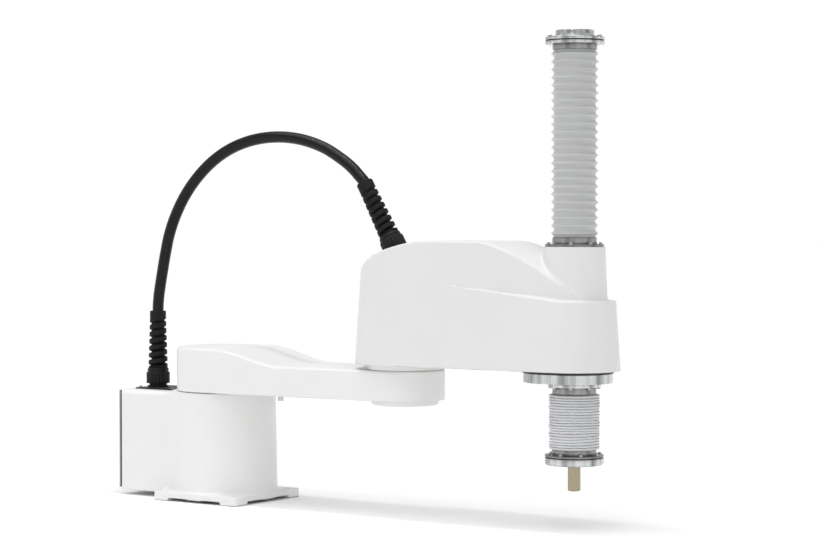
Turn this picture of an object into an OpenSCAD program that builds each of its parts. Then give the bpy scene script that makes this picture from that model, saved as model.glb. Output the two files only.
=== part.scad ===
// SCARA robot arm. Millimetres, +Z up. Origin on the mounting face, under the J1 axis.
// Arms straight along +X, quill at the top of its stroke.

/* [Arms] */
// J1 axis to J2 axis
arm1_len = 350; // [250:5:450]
// J2 axis to J3 axis
arm2_len = 300; // [240:5:400]
// radius of arm 1 round the J1 axis
hub_r = 80; // [70:1:95]
// radius of arm 1 round the J2 axis
elbow_r = 61; // [56:1:70]
// underside of arm 1 over the mounting face
arm1_z = 175; // [160:1:200]
// height of arm 1 at the hub
hub_h = 70; // [55:1:90]
// height of arm 1 at the J2 axis
elbow_h = 47; // [40:1:55]

/* [Base] */
// length and width of the foot
foot_w = 170; // [160:2:220]
// thickness of the foot with its pads
foot_t = 13.5; // [10:0.5:20]
// radius of the pedestal at the foot
pedestal_r = 82; // [75:1:95]
// half width of the rear cabinet
cabinet_w = 55; // [45:1:60]
// back of the rear cabinet from the J1 axis
cabinet_x = 180; // [170:1:220]
// spacing of the four mounting bolts
bolt_pitch = 140; // [130:2:180]
// radius of each mounting hole
bolt_r = 4.5; // [3:0.5:7]

/* [Cover of arm 2] */
// outside radius at the back, lower edge
tail_r = 77; // [70:1:90]
// outside radius at the nose, lower edge
nose_r = 67.5; // [60:0.5:80]
// radius of the quill housing at its top
housing_r = 45; // [43:0.5:50]
// wall of the cover
wall = 3; // [2:0.5:5]

/* [Quill] */
// travel of the quill
stroke = 190; // [100:5:210]
// radius of the shaft
shaft_r = 10; // [8:0.5:12]
// radius of the tool end of the shaft
tip_r = 9.5; // [6:0.5:10]
// length of the tool end of the shaft
tip_len = 38.5; // [20:1:60]
// outside radius of the bellows
bellows_r = 35.3; // [32:0.1:38]
// length of a closed bellows
bellows_shut = 80; // [60:5:100]
// convolutions of a bellows
folds = 24; // [16:1:30]

/* [Conduit] */
// outside diameter of the conduit
conduit_d = 18.3; // [14:0.1:20]
// base gland from the J1 axis
gland_x = 145; // [140:1:150]

/* [Hidden] */
$fn = 96;
j3_x = arm1_len + arm2_len;
base_top = arm1_z - 1;
cab_top = base_top - 2;
hub_top = arm1_z + hub_h;
elbow_top = arm1_z + elbow_h;
boss_z = elbow_top + 0.5;
a2_z = elbow_top + 8.5;
a2_top = a2_z + 189;
tube_top = a2_z + 181;
floor_z = a2_z + 11;
deck_z = a2_z + 50;
fit = 0.05;
gap = 0.3;
up0 = tube_top + 13.5;
up1 = up0 + bellows_shut + 2.5 + stroke;
lo1 = a2_z - 34.5;
lo0 = lo1 - bellows_shut;
cap_r = 43.4;
collar_r = 32.4;
pitch_up = (up1 - up0) / folds;
pitch_lo = (lo1 - lo0) / folds;
lean = 30;
root2_u = -14;
root2_z = a2_z + 168.5;
relief = 126;
wire_r = conduit_d / 2;
// conduit route between the glands, x and z by hand, in the plane y = 0
mid_route = [[-143.6, 318], [-139.8, 341], [-134.8, 365], [-128.4, 394], [-120, 425], [-107, 455],
             [-88, 486], [-62, 516], [-28, 543.6], [12, 564.4], [58, 577], [106, 580.5],
             [152, 575.5], [195, 562.5], [230, 544], [250, 530.2], [264, 517.3]];
foot_a = [for (s = [4, 44, 84, 120]) [-gland_x, cab_top + 2 + s]];
foot_b = [for (s = [126, 114, 84, 44, 4])
          [arm1_len + root2_u - s * sin(lean), root2_z + s * cos(lean)]];
route = concat(foot_a, mid_route, foot_b);

white = [0.9, 0.9, 0.89];
black = [0.08, 0.08, 0.085];
steel = [0.72, 0.73, 0.74];
grey = [0.55, 0.55, 0.56];
motor = [0.2, 0.2, 0.22];
film = [0.83, 0.85, 0.84];

module ring(ro, ri, z0, z1) {
  translate([0, 0, z0]) difference() {
    cylinder(r = ro, h = z1 - z0);
    translate([0, 0, -1]) cylinder(r = ri, h = z1 - z0 + 2);
  }
}

module around(n, r, a0 = 0) {
  for (i = [0:n - 1]) rotate(a0 + i * 360 / n) translate([r, 0, 0]) children();
}

// socket head screw: head above z = 0, shank below
module screw(d, deep) {
  difference() {
    union() {
      cylinder(d = 1.7 * d, h = 0.9 * d, $fn = 32);
      translate([0, 0, -deep]) cylinder(d = d, h = deep + 0.1, $fn = 32);
    }
    translate([0, 0, 0.35 * d]) cylinder(d = 0.9 * d, h = d, $fn = 6);
  }
}

// countersunk screw: flat head flush with z = 0
module flat_screw(d, deep) {
  difference() {
    union() {
      translate([0, 0, -0.5 * d]) cylinder(r1 = d / 2, r2 = d, h = 0.5 * d, $fn = 32);
      translate([0, 0, -deep]) cylinder(d = d, h = deep - 0.4 * d, $fn = 32);
    }
    translate([0, 0, -0.3 * d]) cylinder(d = 0.7 * d, h = d, $fn = 6);
  }
}

module screw_hole(d, deep) {
  translate([0, 0, -deep - 1]) cylinder(d = d + 2 * gap, h = deep + 2, $fn = 32);
}

module at_j2() { translate([arm1_len, 0, 0]) children(); }
module at_j3() { translate([j3_x, 0, 0]) children(); }

// two cylinders and the straight sides that just cut into both
module tangent_body(ra, rb, d, h) {
  a = acos((ra - rb) / d);
  p = ra - 0.1;
  q = rb - 0.1;
  cylinder(r = ra, h = h);
  translate([d, 0, 0]) cylinder(r = rb, h = h);
  linear_extrude(h)
    polygon([[p * cos(a), p * sin(a)], [d + q * cos(a), q * sin(a)],
             [d + q * cos(a), -q * sin(a)], [p * cos(a), -p * sin(a)]]);
}

// ---- base ----
module foot() {
  r = foot_w / 2;
  pad = 32;
  difference() {
    union() {
      translate([-r, -r, 4.5]) cube([foot_w, foot_w, foot_t - 4.5]);
      for (x = [-r, r - pad], y = [-r, r - pad]) translate([x, y, 0]) cube([pad, pad, 5]);
    }
    for (x = [-1, 1], y = [-1, 1]) {
      translate([x * bolt_pitch / 2, y * bolt_pitch / 2, -1]) cylinder(r = bolt_r, h = 20);
      translate([x * r, y * r, -1]) difference() {
        translate([-8, -8, 0]) cube([16, 16, 20]);
        translate([-x * 8, -y * 8, -1]) cylinder(r = 8, h = 22);
        translate([x > 0 ? -20 : 8, -20, -1]) cube([12, 40, 22]);
        translate([-20, y > 0 ? -20 : 8, -1]) cube([40, 12, 22]);
      }
    }
  }
}

module cabinet_plan() {
  difference() {
    translate([-cabinet_x, -cabinet_w]) square([cabinet_x - 40, 2 * cabinet_w]);
    translate([-cabinet_x, -cabinet_w]) difference() {
      translate([-1, -1]) square([7, 7]);
      translate([6, 6]) circle(r = 6, $fn = 48);
    }
    translate([-cabinet_x, cabinet_w]) difference() {
      translate([-1, -6]) square([7, 7]);
      translate([6, -6]) circle(r = 6, $fn = 48);
    }
  }
  for (s = [-1, 1]) scale([1, s]) difference() {
    polygon([[-88, cabinet_w - 1], [-88, cabinet_w], [-52, 62], [-40, cabinet_w - 1]]);
    translate([-88, cabinet_w + 18]) circle(r = 18);
  }
}

module base_casting() color(white) difference() {
  union() {
    foot();
    translate([0, 0, foot_t - 1])
      cylinder(r1 = pedestal_r, r2 = pedestal_r - 3, h = base_top - foot_t + 1);
    intersection() {
      translate([0, 0, 8]) linear_extrude(cab_top - 8) cabinet_plan();
      rotate([90, 0, 90]) translate([0, 0, -cabinet_x - 1]) linear_extrude(cabinet_x)
        polygon([[-80, 0], [80, 0], [80, cab_top - 16], [cabinet_w, cab_top - 6],
                 [cabinet_w - 6, cab_top], [-cabinet_w + 6, cab_top],
                 [-cabinet_w, cab_top - 6], [-80, cab_top - 16]]);
    }
  }
  // motor room, open below, and the reducer bore
  translate([0, 0, -1]) cylinder(r = 66, h = 149);
  translate([0, 0, 140]) cylinder(r = 60, h = 40);
  // cabinet room, open at the back
  translate([-cabinet_x - 1, -cabinet_w + 5, 14])
    cube([cabinet_x - 50, 2 * cabinet_w - 10, cab_top - 20]);
  translate([-gland_x, 0, cab_top - 20]) cylinder(r = 20, h = 30);
  for (p = [[-34, 20], [34, 20], [-34, -20], [34, -20]])
    translate([-125 + p[0], p[1] * 1.4, cab_top]) screw_hole(3, 5);
  for (y = [-1, 1], z = [17.5, cab_top - 7]) translate([-cabinet_x, y * 46, z])
    rotate([0, -90, 0]) screw_hole(3, 8);
}

module rear_panel() color(white) difference() {
  translate([-cabinet_x - 2.5, -cabinet_w + 1.5, 11]) cube([2.5, 2 * cabinet_w - 3, cab_top - 13]);
  for (y = [-1, 1], z = [17.5, cab_top - 7]) translate([-cabinet_x - 2.5, y * 46, z])
    rotate([0, -90, 0]) screw_hole(3, 3);
  for (y = [-24, 24]) translate([-cabinet_x - 4, y, 100]) rotate([0, 90, 0])
    cylinder(r = 13 + gap, h = 6);
}

module rear_panel_screws() color(steel)
  for (y = [-1, 1], z = [17.5, cab_top - 7]) translate([-cabinet_x - 2.5, y * 46, z])
    rotate([0, -90, 0]) screw(3, 8);

module rear_connectors() color(black)
  for (y = [-24, 24]) translate([-cabinet_x, y, 100]) rotate([0, -90, 0]) difference() {
    union() {
      translate([0, 0, -16]) cylinder(r = 13, h = 18.4);
      translate([0, 0, 2.5]) cylinder(r = 16, h = 2);
      translate([0, 0, 2]) cylinder(r = 13, h = 1);
    }
    translate([0, 0, -8]) difference() {
      cylinder(r = 10.5, h = 20);
      translate([0, 0, -1]) cylinder(r = 7, h = 9);
    }
  }

module gland_plate() color(black) difference() {
  translate([-125 - 39, -34, cab_top]) cube([78, 68, 2]);
  translate([-gland_x, 0, cab_top - 1]) cylinder(r = 14.5 + gap, h = 5);
  for (x = [-34, 34], y = [-28, 28]) translate([-125 + x, y, cab_top + 2]) screw_hole(3, 3);
  for (y = [-28, 28]) translate([-91, y, cab_top + 0.5])
    cylinder(r1 = 1.5 + gap, r2 = 3.1 + gap, h = 1.6, $fn = 32);
}

// socket heads at the back, flush heads where arm 1 passes over
module gland_plate_screws() color(steel) for (y = [-28, 28]) {
  translate([-159, y, cab_top + 2]) screw(3, 6);
  translate([-91, y, cab_top + 2]) flat_screw(3, 6);
}

// gland on a wall: z = 0 is the outside of the wall
module gland() color(black) difference() {
  union() {
    translate([0, 0, -12]) cylinder(r = 14.5, h = 21);
    difference() {
      translate([0, 0, 8]) cylinder(r = 19.2, h = 16);
      for (i = [0:17]) rotate(i * 20) translate([19.8, 0, 7]) cylinder(r = 1.3, h = 15, $fn = 16);
    }
    translate([0, 0, 0]) cylinder(r = 17.5, h = 2);
    translate([0, 0, 24]) cylinder(r1 = 17.4, r2 = 16.2, h = 7);
  }
  translate([0, 0, -13]) cylinder(r = wire_r + 2 * gap, h = 60);
}

// ribbed sleeve over the conduit, seven ribs on a thinner core
module strain_relief() color(black) rotate_extrude()
  polygon(concat([[wire_r + 2 * gap, 31.2], [15.6, 31.2]],
                 [for (i = [0:6], k = [0:3])
                   [(k == 1 || k == 2 ? 16.2 - 0.42 * i : 11),
                    33 + 11.7 * i + [0, 2.4, 5.4, 7.8][k]]],
                 [[13.2, 114], [13.2, relief - 1], [wire_r + 2 * gap, relief - 1]]));

module at_gland_1() { translate([-gland_x, 0, cab_top + 2]) children(); }
module at_gland_2() {
  translate([arm1_len + root2_u, 0, root2_z]) rotate([0, -lean, 0]) children();
}

function spline(p, i, t) = let (n = len(p) - 1, a = p[max(i - 1, 0)], b = p[i],
    c = p[min(i + 1, n)], d = p[min(i + 2, n)])
  0.5 * (2 * b + (c - a) * t + (2 * a - 5 * b + 4 * c - d) * t * t
         + (3 * b - a - 3 * c + d) * t * t * t);
wire = [for (i = [0:len(route) - 2], t = [0, 0.5]) spline(route, i, t), route[len(route) - 1]];
sides = 12;
function heading(i) = let (a = wire[max(i - 1, 0)], b = wire[min(i + 1, len(wire) - 1)])
  (b - a) / norm(b - a);

module umbilical() color(black) polyhedron(
  points = [for (i = [0:len(wire) - 1], k = [0:sides - 1]) let (h = heading(i), a = k * 360 / sides)
    [wire[i][0] - wire_r * cos(a) * h[1], wire_r * sin(a), wire[i][1] + wire_r * cos(a) * h[0]]],
  faces = concat([[for (k = [0:sides - 1]) k]],
    [for (i = [0:len(wire) - 2], k = [0:sides - 1]) let (m = (k + 1) % sides)
      [i * sides + m, i * sides + k, (i + 1) * sides + k, (i + 1) * sides + m]],
    [[for (k = [sides - 1:-1:0]) (len(wire) - 1) * sides + k]]));

// ---- drives ----
// motor body standing on z = 0, shaft bore up through the top
module servo(w, h, bore) color(motor) difference() {
  union() {
    translate([-w / 2, -w / 2, 0]) cube([w, w, h - 12]);
    cylinder(r = 0.46 * w, h = h - 6);
    translate([-w / 2 - 4, -w / 2 - 4, h - 10]) cube([w + 8, w + 8, 10]);
    translate([-12, w / 2 - 1, 8]) cube([24, 7, 22]);
  }
  translate([0, 0, h - 40]) cylinder(r = bore + fit, h = 41);
}

module j1_motor() translate([0, 0, 36]) servo(60, 104, 8);

module j1_reducer() color(steel) difference() {
  union() {
    translate([0, 0, 140]) cylinder(r = 60 - gap, h = base_top - 141);
    translate([0, 0, 140]) cylinder(r = 64, h = 7.9);
  }
  translate([0, 0, 139]) cylinder(r = 30, h = 40);
  translate([0, 0, 160]) cylinder(r = 38.4, h = 40);
}

module j1_wave_generator() color(steel) {
  translate([0, 0, 104]) cylinder(r = 8, h = 50);
  ring(28, 7.5, 142, 157);
}

module j1_output_flange() color(steel) difference() {
  translate([0, 0, 160.5]) cylinder(r = 38.4 - fit, h = arm1_z - 160.5);
  translate([0, 0, 160]) cylinder(r = 12, h = 30);
}

module j2_motor() at_j2() translate([0, 0, floor_z + 10 + 96]) mirror([0, 0, 1]) servo(60, 96, 7);

module j2_reducer() color(steel) at_j2() difference() {
  union() {
    translate([0, 0, boss_z]) cylinder(r = 52 - gap, h = floor_z - boss_z + 1);
    translate([0, 0, floor_z]) cylinder(r = 58, h = 10);
  }
  translate([0, 0, boss_z - 1]) cylinder(r = 30, h = 60);
  translate([0, 0, boss_z - 1]) cylinder(r = 38.4, h = 15);
}

module j2_wave_generator() color(steel) at_j2() {
  translate([0, 0, floor_z - 4]) cylinder(r = 7, h = 50);
  ring(28, 6.5, floor_z - 4, floor_z + 8);
}

module j2_output_flange() color(steel) at_j2() difference() {
  translate([0, 0, elbow_top]) cylinder(r = 38.4 - fit, h = 13);
  translate([0, 0, elbow_top - 1]) cylinder(r = 12, h = 20);
}

// ---- arm 1 ----
module arm1_casting() color(white) difference() {
  intersection() {
    translate([0, 0, arm1_z]) tangent_body(hub_r, elbow_r, arm1_len, hub_h);
    rotate([90, 0, 0]) translate([0, 0, -hub_r - 1]) linear_extrude(2 * hub_r + 2)
      polygon(concat([[-hub_r - 1, arm1_z - 1], [-hub_r - 1, hub_top]],
                     [for (i = [0:16]) [40 + 7.5 * i,
                       elbow_top + (hub_top - elbow_top) * (1 + cos(i * 11.25)) / 2]],
                     [[arm1_len + elbow_r + 1, elbow_top], [arm1_len + elbow_r + 1, arm1_z - 1]]));
  }
  // hub room and the room over the J2 cap
  translate([0, 0, arm1_z + 10]) cylinder(r = 50, h = hub_h - 18);
  translate([0, 0, arm1_z - 1]) cylinder(r = 12, h = 20);
  at_j2() translate([0, 0, arm1_z - 1]) cylinder(r = 45, h = elbow_h - 11);
  at_j2() translate([0, 0, elbow_top - 20]) cylinder(r = 12, h = 30);
  translate([110, 0, arm1_z - 1]) cylinder(r = 4.5 + gap, h = 13);
}

module stop_pin() color(steel) {
  translate([110, 0, arm1_z - 13]) cylinder(r = 4.5, h = 24);
}

module j2_bottom_cap() color(white) at_j2() difference() {
  union() {
    translate([0, 0, arm1_z - 5]) cylinder(r = 52, h = 5);
    translate([0, 0, arm1_z - 8]) cylinder(r1 = 49, r2 = 52, h = 3);
    translate([0, 0, arm1_z - 1]) cylinder(r = 45 - gap, h = 6);
  }
  translate([0, 0, arm1_z - 4]) cylinder(r = 40, h = 20);
}

// ---- arm 2 ----
// plan below the ledge, drafted
module a2_lower(t) hull() {
  cylinder(r1 = tail_r - t, r2 = tail_r - t - 12, h = 189, $fn = 72);
  translate([arm2_len, 0, 0]) cylinder(r1 = nose_r - t, r2 = nose_r - t - 12.6, h = 189, $fn = 72);
}

// plan above the ledge, drawn in towards the quill housing
module a2_upper(t) hull() {
  cylinder(r1 = tail_r - t, r2 = tail_r - t - 12, h = 189, $fn = 72);
  for (s = [-1, 1]) translate([arm2_len / 2 - 4, s * (tail_r - t - 16.8), 0]) rotate([s * 3.72, 0, 0])
    cylinder(r = 11.3, h = 189, $fn = 40);
  translate([arm2_len, 0, 0]) cylinder(r1 = housing_r + 9 - t, r2 = housing_r - t, h = 189, $fn = 72);
}

module a2_side(t) rotate([90, 0, 0]) translate([0, 0, -100]) linear_extrude(200)
  polygon([[-100, -20], [-100, 122 - t], [-66, 141 - t], [6, 178.6 - t], [16, 183.2 - t],
           [28, 187 - t], [42, 189 - t], [400, 189 - t], [400, -20]]);

module a2_ledge(t) rotate([90, 0, 0]) translate([0, 0, -100]) linear_extrude(200)
  polygon([[-100, -20], [-100, 120 - t], [arm2_len / 2, 120 - t], [arm2_len - 60, 110 - t],
           [arm2_len + 8, 102 - t], [400, 102 - t], [400, -20]]);

// slanting faces that fall from the flat top to the ledge, one on each side
module a2_bevel(t) for (s = [-1, 1]) scale([1, s, 1]) rotate([0, 0, 43.7])
  rotate([90, 0, 0]) translate([0, 0, -400]) linear_extrude(800)
    polygon([[164 - t, 189.1 - t], [175, 185.6 - t], [186, 181 - t], [200, 174 - t],
             [216, 163.5 - t], [230, 152 - t], [242, 138 - t], [252, 122 - t], [259, 104 - t],
             [262, 90 - t], [420, 90 - t], [420, 230], [164 - t, 230]]);

module a2_body(t = 0) translate([arm1_len, 0, a2_z]) {
  intersection() { a2_lower(t); a2_ledge(t); }
  difference() {
    intersection() { a2_upper(t); a2_side(t); }
    a2_bevel(t);
  }
  translate([arm2_len, 0, 90]) cylinder(r1 = housing_r + 3.8 - t, r2 = housing_r - t, h = 90.8);
}

module arm2_cover() color(white) difference() {
  a2_body();
  translate([0, 0, -0.01]) intersection() {
    a2_body(wall);
    translate([0, -200, a2_z - 5]) cube([900, 400, tube_top - a2_z + 3]);
  }
  translate([0, -200, a2_z - 20]) cube([900, 400, 20]);
  at_j3() translate([0, 0, a2_z + 150]) cylinder(r = 40 + gap, h = 60);
  at_gland_2() translate([0, 0, -15]) cylinder(r = 14.5 + gap, h = 30);
  at_gland_2() cylinder(r = 19, h = 12);
}

module arm2_frame() color(grey) difference() {
  union() {
    at_j2() translate([0, 0, a2_z])
      tangent_body(tail_r - wall - 1.2, nose_r - wall - 1.2, arm2_len, floor_z - a2_z);
    at_j2() translate([0, 0, boss_z]) cylinder(r = 62, h = a2_z - boss_z + 1);
    for (x = [65, 205], y = [-44, 44]) at_j2() translate([x, y, floor_z - 1])
      cylinder(r = 7, h = deck_z - floor_z + 2);
    at_j2() translate([57, -52, deck_z]) cube([158, 104, 8]);
    at_j3() translate([0, 0, floor_z - 1]) cylinder(r = 40, h = tube_top - floor_z + 1);
  }
  at_j2() translate([0, 0, boss_z - 1]) cylinder(r = 52, h = 60);
  at_j3() translate([0, 0, a2_z - 1]) cylinder(r = 33.4, h = 200);
  // windows for the two belts
  at_j3() translate([-60, -31, a2_z + 26]) cube([62, 62, 22]);
  at_j3() translate([-60, -31, a2_z + 134]) cube([62, 62, 26]);
  at_j2() translate([100, 0, deck_z - 1]) cylinder(r = 22, h = 20);
  for (p = cover_screw_at) translate([p[0], p[1], a2_z - 1]) {
    cylinder(r = 2 + gap, h = 9, $fn = 32);
    translate([0, 0, 0.9]) cylinder(r1 = 4.1 + gap, r2 = 2 + gap, h = 2.1, $fn = 32);
  }
}

cover_screw_at = [[arm1_len - 62, 24], [arm1_len - 62, -24], [arm1_len + 120, 60],
                  [arm1_len + 120, -60], [arm1_len + 200, 58], [arm1_len + 200, -58]];

module cover_screws() color(steel)
  for (p = cover_screw_at) translate([p[0], p[1], a2_z]) mirror([0, 0, 1]) flat_screw(4, 7);

module j3_motor() at_j2() translate([175, 0, deck_z + 8]) servo(54, 74, 6);
module j4_motor() at_j2() translate([100, 0, deck_z + 8 + 92]) mirror([0, 0, 1]) servo(54, 92, 6);

module toothed_pulley(r, z0, z1, bore) difference() {
  union() {
    ring(r, bore, z0, z1);
    ring(r + 1.6, bore, z0, z0 + 1.2);
    ring(r + 1.6, bore, z1 - 1.2, z1);
  }
  for (i = [0:23]) rotate(i * 15) translate([r + 0.3, 0, z0 + 1.2])
    cylinder(r = 1.1, h = z1 - z0 - 2.4, $fn = 14);
}

module belt(r1, r2, d, z0, z1) color(black) translate([0, 0, z0]) difference() {
  tangent_body(r2 + 1.9, r1 + 1.9, d, z1 - z0);
  translate([0, 0, -1]) tangent_body(r2 + gap, r1 + gap, d, z1 - z0 + 2);
}

module j3_belt() at_j2() translate([175, 0, 0]) belt(25, 14, arm2_len - 175, a2_z + 139.5, a2_z + 153.5);
module j4_belt() at_j2() translate([100, 0, 0]) belt(25, 14, arm2_len - 100, a2_z + 31.5, a2_z + 43.5);

module j3_motor_pulley() color(steel) at_j2() translate([175, 0, 0]) {
  toothed_pulley(14, a2_z + 138, a2_z + 155, 5.5);
  translate([0, 0, a2_z + 100]) cylinder(r = 6, h = 56);
}

module j4_motor_pulley() color(steel) at_j2() translate([100, 0, 0]) {
  toothed_pulley(14, a2_z + 30, a2_z + 45, 5.5);
  translate([0, 0, a2_z + 29]) cylinder(r = 6, h = 56);
}

module ball_nut_bearing() color(grey) at_j3() ring(33.4 - gap, 20 + fit, a2_z + 110, a2_z + 126);
module spline_nut_bearing() color(grey) at_j3() ring(33.4 - gap, 20 + fit, a2_z + 3, a2_z + 21);

module ball_nut() color(steel) at_j3() ring(20, shaft_r + fit, a2_z + 106, a2_z + 168);
module ball_nut_pulley() color(steel) at_j3()
  toothed_pulley(25, a2_z + 138, a2_z + 155, 20 + gap);
module spline_nut() color(steel) at_j3() ring(20, shaft_r + fit, a2_z + 1, a2_z + 58);
module spline_nut_pulley() color(steel) at_j3()
  toothed_pulley(25, a2_z + 30, a2_z + 45, 20 + gap);

// ---- bellows and their seats ----
module bellows(z0, n, pitch, ro, ri, t) rotate_extrude() polygon(concat(
  [for (i = [0:n - 1]) each [[ri, z0 + i * pitch], [ro, z0 + (i + 0.5) * pitch]]],
  [[ri, z0 + n * pitch], [ri - t, z0 + n * pitch]],
  [for (i = [n - 1:-1:0]) each [[ro - t, z0 + (i + 0.5) * pitch], [ri - t, z0 + i * pitch]]]));

module upper_bellows() color(film) at_j3()
  bellows(up0, folds, pitch_up, bellows_r, bellows_r - 5.7, 0.6);
module lower_bellows() color(film) at_j3()
  bellows(lo0, folds, pitch_lo, bellows_r, bellows_r - 5.7, 0.6);

module upper_flange() color(steel) at_j3() difference() {
  ring(43, 25, tube_top, tube_top + 3.5);
  around(8, 38.5, 22.5) translate([0, 0, tube_top + 3.5]) screw_hole(3, 4);
}
module upper_flange_screws() color(steel) at_j3()
  around(8, 38.5, 22.5) translate([0, 0, tube_top + 3.5]) screw(3, 3.4);
module upper_collar() color(grey) at_j3() ring(collar_r, 24, tube_top + 3.5, up0);

// slot-shaped plate along X, its front end round about the J3 axis
module slot_plate(r, d, h) {
  cylinder(r = r, h = h);
  translate([-d, 0, 0]) cylinder(r = r, h = h);
  translate([-d, -r, 0]) cube([d, 2 * r, h]);
}
module quill_gasket() color(black) at_j3() difference() {
  translate([0, 0, a2_z - 3]) slot_plate(58, 22, 3);
  translate([0, 0, a2_z - 4]) cylinder(r = 24, h = 5);
}
module quill_plate() color(steel) at_j3() difference() {
  union() {
    translate([0, 0, a2_z - 16.4]) slot_plate(56, 22, 13.4);
    translate([0, 0, a2_z - 17.6]) slot_plate(54.8, 22, 2);
  }
  translate([0, 0, a2_z - 20]) cylinder(r = 24, h = 30);
}
module lower_flange() color(steel) at_j3() difference() {
  ring(39, 24, a2_z - 23.6, a2_z - 17.6);
  around(8, 35.7, 22.5) translate([0, 0, a2_z - 23.6]) mirror([0, 0, 1]) screw_hole(3, 5.5);
}
module lower_flange_screws() color(steel) at_j3()
  around(8, 35.7, 22.5) translate([0, 0, a2_z - 23.6]) mirror([0, 0, 1]) screw(3, 5);
module lower_collar() color(grey) at_j3() ring(collar_r - 0.4, 24, lo1, a2_z - 23.6);

// ---- quill ----
module top_collar() color(grey) at_j3() ring(collar_r, 24, up1, up1 + 8);
module top_disc() color(steel) at_j3() difference() {
  ring(cap_r, 22 + gap, up1 + 8, up1 + 12.5);
  around(6, 36, 30) translate([0, 0, up1 + 13.5]) screw_hole(4, 12);
}
module top_gasket() color(black) at_j3() difference() {
  ring(cap_r - 0.8, 22 + gap, up1 + 12.5, up1 + 14.1);
  around(6, 36, 30) translate([0, 0, up1 + 14.5]) screw_hole(4, 4);
}
module top_cap() color(steel) at_j3() difference() {
  union() {
    translate([0, 0, up1 + 14.1]) cylinder(r = cap_r, h = 4.4);
    translate([0, 0, up1 + 17.5]) cylinder(r = 28.4, h = 11);
  }
  translate([0, 0, up1 + 13.5]) cylinder(r = shaft_r + 2, h = 8);
  around(6, 36, 30) translate([0, 0, up1 + 18.5]) screw_hole(4, 8);
}
module top_cap_screws() color(steel) at_j3()
  around(6, 36, 30) translate([0, 0, up1 + 18.5]) screw(4, 10);
module top_bearing() color(grey) at_j3() ring(22, shaft_r + fit, up1 + 4, up1 + 14.1);

module bottom_collar() color(grey) at_j3() ring(collar_r, 24, lo0 - 8, lo0);
module bottom_ring() color(grey) at_j3() difference() {
  ring(43.2, 22 + gap, lo0 - 11, lo0 - 8);
  around(8, 38.5) translate([0, 0, lo0 - 8]) screw_hole(3, 4);
}
module bottom_ring_screws() color(steel) at_j3()
  around(8, 38.5) translate([0, 0, lo0 - 8]) screw(3, 9);
module bottom_gasket() color(black) at_j3() difference() {
  ring(42.4, 22 + gap, lo0 - 12.5, lo0 - 11);
  around(8, 38.5) translate([0, 0, lo0 - 10]) screw_hole(3, 4);
}
module bottom_disc() color(steel) at_j3() difference() {
  union() {
    ring(cap_r, 22 + gap, lo0 - 21, lo0 - 12.5);
    translate([0, 0, lo0 - 22.8]) cylinder(r1 = cap_r - 1.8, r2 = cap_r, h = 1.8);
  }
  translate([0, 0, lo0 - 30]) cylinder(r = shaft_r + 1, h = 20);
  around(8, 38.5) translate([0, 0, lo0 - 11]) screw_hole(3, 7);
}
module bottom_bearing() color(grey) at_j3() ring(22, shaft_r + fit, lo0 - 21, lo0 - 6);

module quill_shaft() color(steel) at_j3() difference() {
  union() {
    translate([0, 0, lo0 - 23]) cylinder(r = shaft_r, h = up1 + 17.5 - lo0 + 23);
    translate([0, 0, lo0 - 23 - tip_len + 1.5]) cylinder(r = tip_r, h = tip_len);
    translate([0, 0, lo0 - 23 - tip_len]) cylinder(r1 = tip_r - 1.5, r2 = tip_r, h = 1.5);
  }
  translate([0, 0, lo0 - 70]) cylinder(r = 5.5, h = up1 - lo0 + 120);
  around(3, shaft_r + 0.4) translate([0, 0, lo0 - 8]) cylinder(r = 1.6, h = up1 - lo0 + 4);
}

base_casting();
rear_panel();
rear_panel_screws();
rear_connectors();
gland_plate();
gland_plate_screws();
at_gland_1() gland();  // base_gland
at_gland_1() strain_relief();  // base_strain_relief
umbilical();
j1_motor();
j1_reducer();
j1_wave_generator();
arm1_casting();
j1_output_flange();
stop_pin();
j2_bottom_cap();
j2_output_flange();
j2_wave_generator();
arm2_frame();
arm2_cover();
cover_screws();
at_gland_2() gland();  // arm2_gland
at_gland_2() strain_relief();  // arm2_strain_relief
j2_motor();
j2_reducer();
j3_motor();
j4_motor();
ball_nut_bearing();
spline_nut_bearing();
j3_belt();
j4_belt();
upper_flange();
upper_flange_screws();
upper_collar();
upper_bellows();
quill_gasket();
quill_plate();
lower_flange();
lower_flange_screws();
lower_collar();
lower_bellows();
ball_nut();
ball_nut_pulley();
spline_nut();
spline_nut_pulley();
j3_motor_pulley();
j4_motor_pulley();
top_cap();
top_gasket();
top_disc();
top_cap_screws();
top_collar();
top_bearing();
bottom_collar();
bottom_ring();
bottom_ring_screws();
bottom_gasket();
bottom_disc();
bottom_bearing();
quill_shaft();
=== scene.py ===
import bpy, math
import numpy as np
from mathutils import Vector, Matrix


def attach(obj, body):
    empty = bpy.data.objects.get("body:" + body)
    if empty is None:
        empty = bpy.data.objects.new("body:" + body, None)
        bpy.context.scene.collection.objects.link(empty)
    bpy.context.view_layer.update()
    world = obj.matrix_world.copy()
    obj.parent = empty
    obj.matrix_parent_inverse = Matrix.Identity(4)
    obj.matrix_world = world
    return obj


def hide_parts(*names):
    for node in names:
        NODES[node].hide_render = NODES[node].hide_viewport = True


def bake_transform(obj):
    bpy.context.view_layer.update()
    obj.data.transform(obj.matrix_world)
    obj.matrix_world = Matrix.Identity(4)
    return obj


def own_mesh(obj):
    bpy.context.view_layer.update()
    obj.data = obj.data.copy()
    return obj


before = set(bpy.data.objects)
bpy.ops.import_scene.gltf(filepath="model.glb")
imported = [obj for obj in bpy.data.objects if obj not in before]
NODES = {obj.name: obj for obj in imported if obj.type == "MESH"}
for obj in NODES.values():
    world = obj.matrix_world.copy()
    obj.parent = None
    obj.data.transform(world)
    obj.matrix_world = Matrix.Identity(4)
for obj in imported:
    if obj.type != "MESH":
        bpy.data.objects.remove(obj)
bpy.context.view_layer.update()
MM = 0.001
scene = bpy.context.scene

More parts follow.
